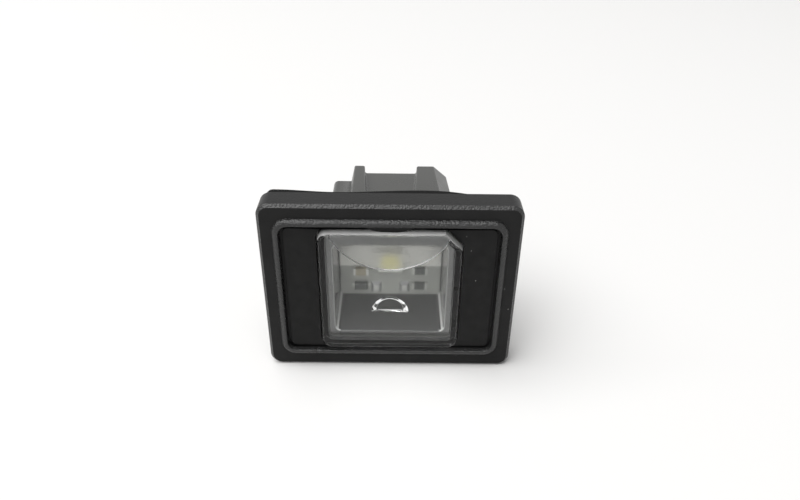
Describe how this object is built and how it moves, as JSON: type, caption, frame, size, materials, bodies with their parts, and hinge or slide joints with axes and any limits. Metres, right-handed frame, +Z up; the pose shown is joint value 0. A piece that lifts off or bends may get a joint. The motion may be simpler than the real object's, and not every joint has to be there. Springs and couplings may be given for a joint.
{
  "type": "number plate lamp",
  "caption": "Number plate lamp: a black flange with a raised rim round a clear cut-corner lens, with a soft gasket and a grey ribbed housing behind it for the LED board and plug.",
  "frame": {"origin": "middle of the gasket's rear face, which seats on the car's body panel", "axes": "+X to the right along the flange as seen from the lens side, +Y back into the car, +Z up; the lens looks along -Y"},
  "size_m": [0.0506, 0.03, 0.0385],
  "materials": {
    "bezel_black": "fine moulded grain",
    "housing_grey": "satin moulded",
    "gasket_foam": "soft closed-cell foam",
    "lens_clear": "clear polished moulding",
    "board_white": "satin solder resist",
    "led_white": "smooth",
    "phosphor_yellow": "smooth resin",
    "tinned_metal": "tin plated",
    "solder": "satin",
    "resistor_black": "smooth",
    "capacitor_tan": "ceramic"
  },
  "bodies": {
    "root": {"bezel": "bezel_black", "housing": "housing_grey", "gasket": "gasket_foam", "lens": "lens_clear", "circuit_board": "board_white", "led_package": "led_white", "led_phosphor": "phosphor_yellow", "led_terminals": "tinned_metal", "contact_blade_positive": "tinned_metal", "contact_blade_negative": "tinned_metal", "solder_joints": "solder", "resistor_bodies": "resistor_black", "resistor_ends": "tinned_metal", "capacitor_body": "capacitor_tan", "capacitor_ends": "tinned_metal", "diode_body": "resistor_black", "diode_leads": "tinned_metal"}
  },
  "joints": []
}
